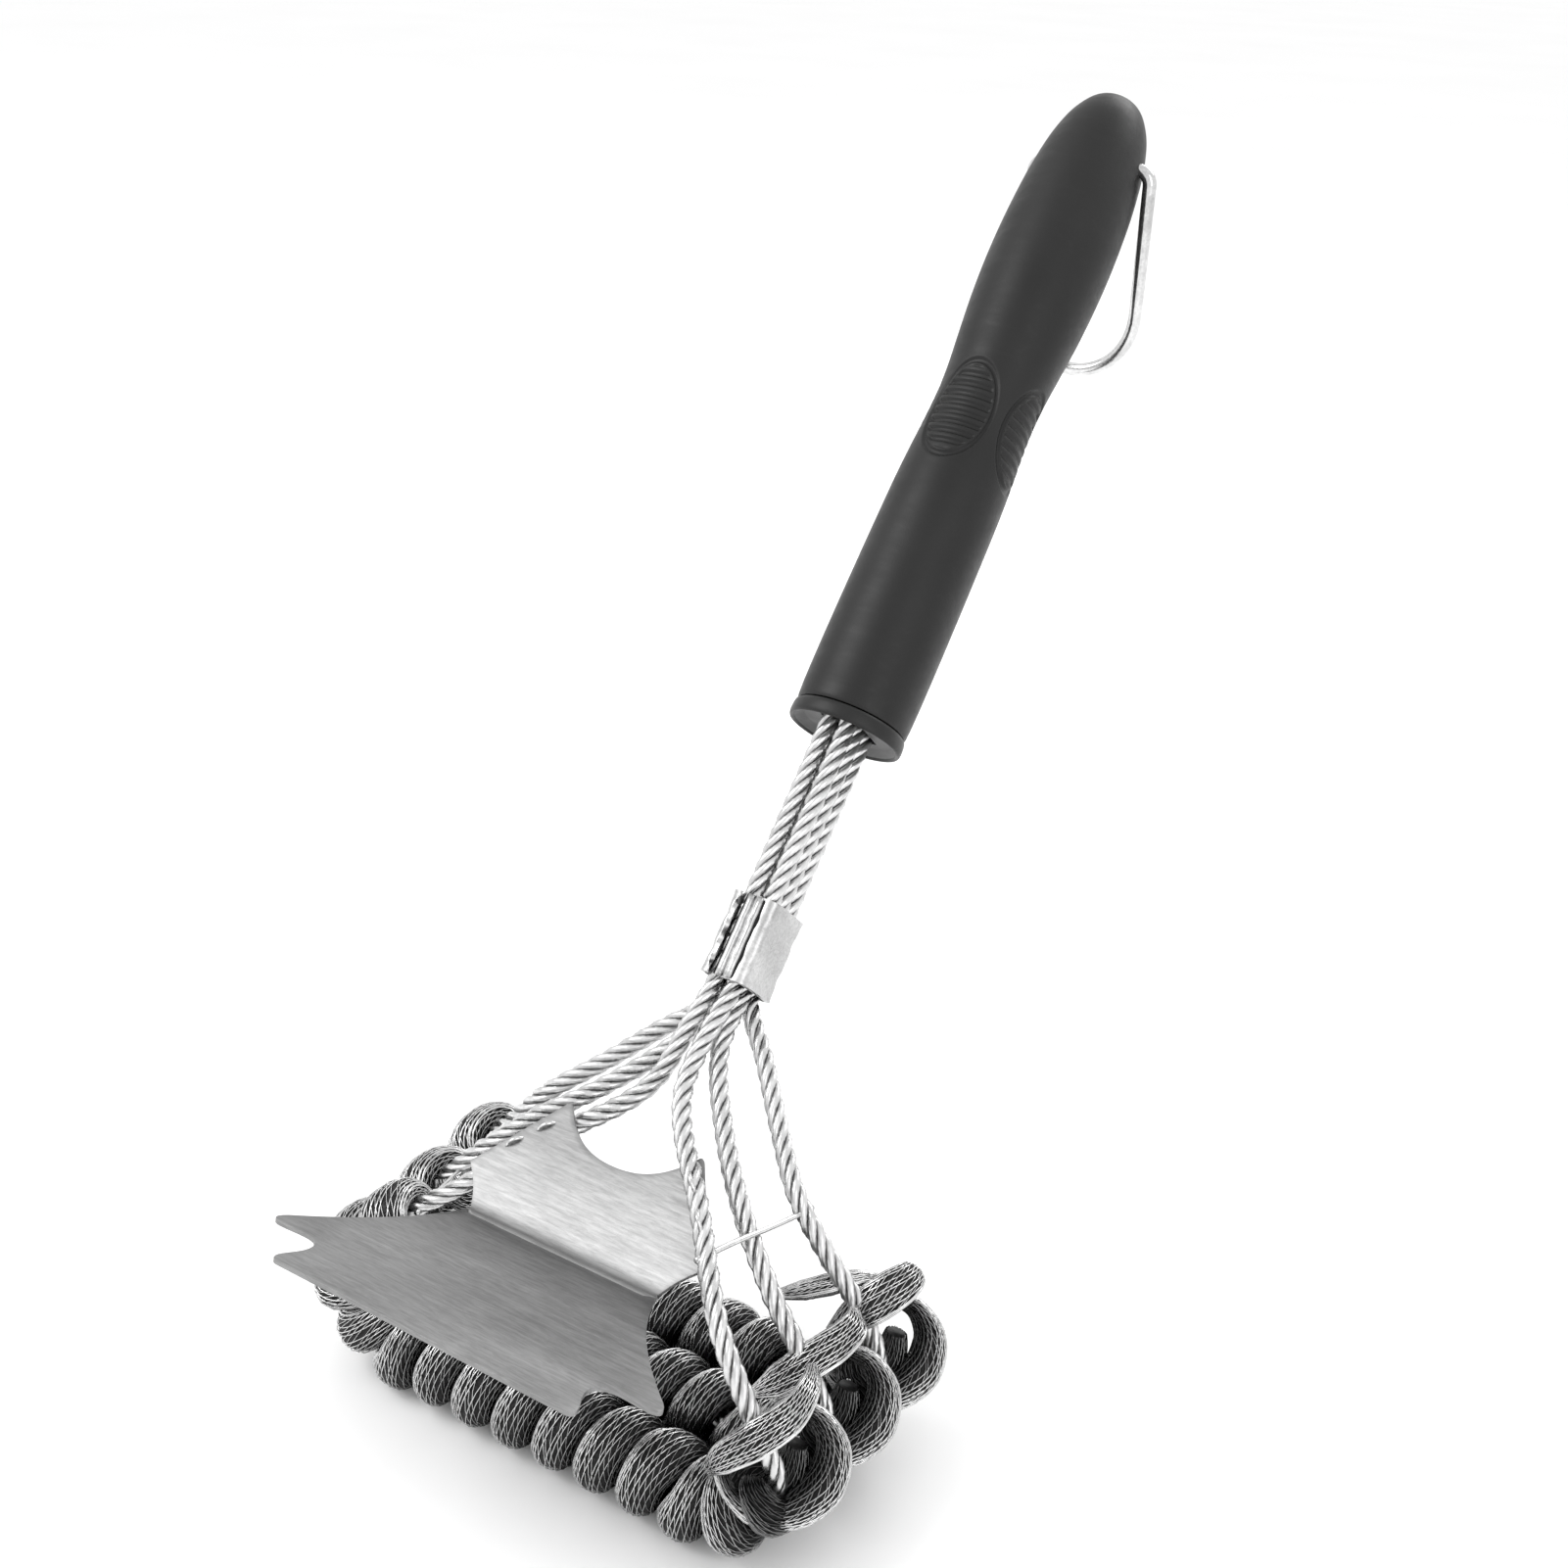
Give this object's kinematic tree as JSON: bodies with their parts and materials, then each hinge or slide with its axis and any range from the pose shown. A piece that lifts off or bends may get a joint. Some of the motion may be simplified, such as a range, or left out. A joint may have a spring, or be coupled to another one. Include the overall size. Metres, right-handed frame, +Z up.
{
  "type": "grill cleaning brush",
  "caption": "Barbecue cleaning brush: woven wire rows on twisted rope loops, a bent forked scraper plate, a crimped ferrule, a hollow moulded handle and a swinging hanging loop.",
  "frame": {"origin": "centre of the flat underside of the middle woven row", "axes": "+X along the rows, -Y towards the scraper, +Y towards the handle, +Z up from the surface the rows rest on"},
  "size_m": [0.156, 0.3227, 0.3115],
  "materials": {
    "grip_plastic": "matte",
    "collar_plastic": "matte",
    "crimp_steel": "satin",
    "bright_wire": "gloss",
    "rope_steel": "gloss",
    "woven_steel": "satin",
    "scraper_steel": "satin"
  },
  "bodies": {
    "brush": {"handle_grip": "grip_plastic", "handle_collar": "collar_plastic", "wire_anchor": "crimp_steel", "ferrule": "crimp_steel", "front_right_leg": "rope_steel", "front_run": "rope_steel", "front_left_leg": "rope_steel", "middle_right_leg": "rope_steel", "middle_run": "rope_steel", "middle_left_leg": "rope_steel", "back_right_leg": "rope_steel", "back_run": "rope_steel", "back_left_leg": "rope_steel", "front_mesh": "woven_steel", "middle_mesh": "woven_steel", "back_mesh": "woven_steel", "left_tie_rod": "bright_wire", "right_tie_rod": "bright_wire", "scraper_blade": "scraper_steel", "left_upper_staple": "bright_wire", "left_lower_staple": "bright_wire", "right_upper_staple": "bright_wire", "right_lower_staple": "bright_wire"},
    "loop": {"hang_loop": "bright_wire"}
  },
  "joints": [
    {"name": "hang_loop_hinge", "type": "hinge", "parent": "brush", "child": "loop", "pos_m": [0, 0.23312, 0.29203], "axis": [1, 0, 0], "range_deg": [-10, 275]}
  ]
}
